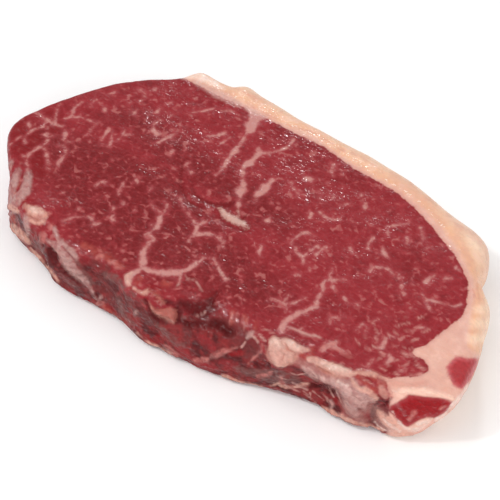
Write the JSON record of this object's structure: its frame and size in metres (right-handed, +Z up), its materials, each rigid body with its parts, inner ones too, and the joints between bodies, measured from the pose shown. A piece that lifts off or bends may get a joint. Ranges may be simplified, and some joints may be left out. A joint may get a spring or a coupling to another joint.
{
  "type": "raw sirloin steak",
  "caption": "Boneless raw sirloin steak, a thick oval slab of marbled red lean with a pale fat edge along one side, lying flat on its cut face.",
  "frame": {"origin": "under the middle of the steak, on the surface that it lies on", "axes": "+X along the steak's length towards the narrow flap end, +Y towards the thick edge of fat, +Z up out of the shown cut face"},
  "size_m": [0.1968, 0.1096, 0.0269],
  "materials": {
    "marbled_lean": "moist raw beef: deep red lean with fine pale marbling, a cream fat edge, and grey-white skin over part of the front side"
  },
  "bodies": {
    "root": {"steak": "marbled_lean"}
  },
  "joints": []
}
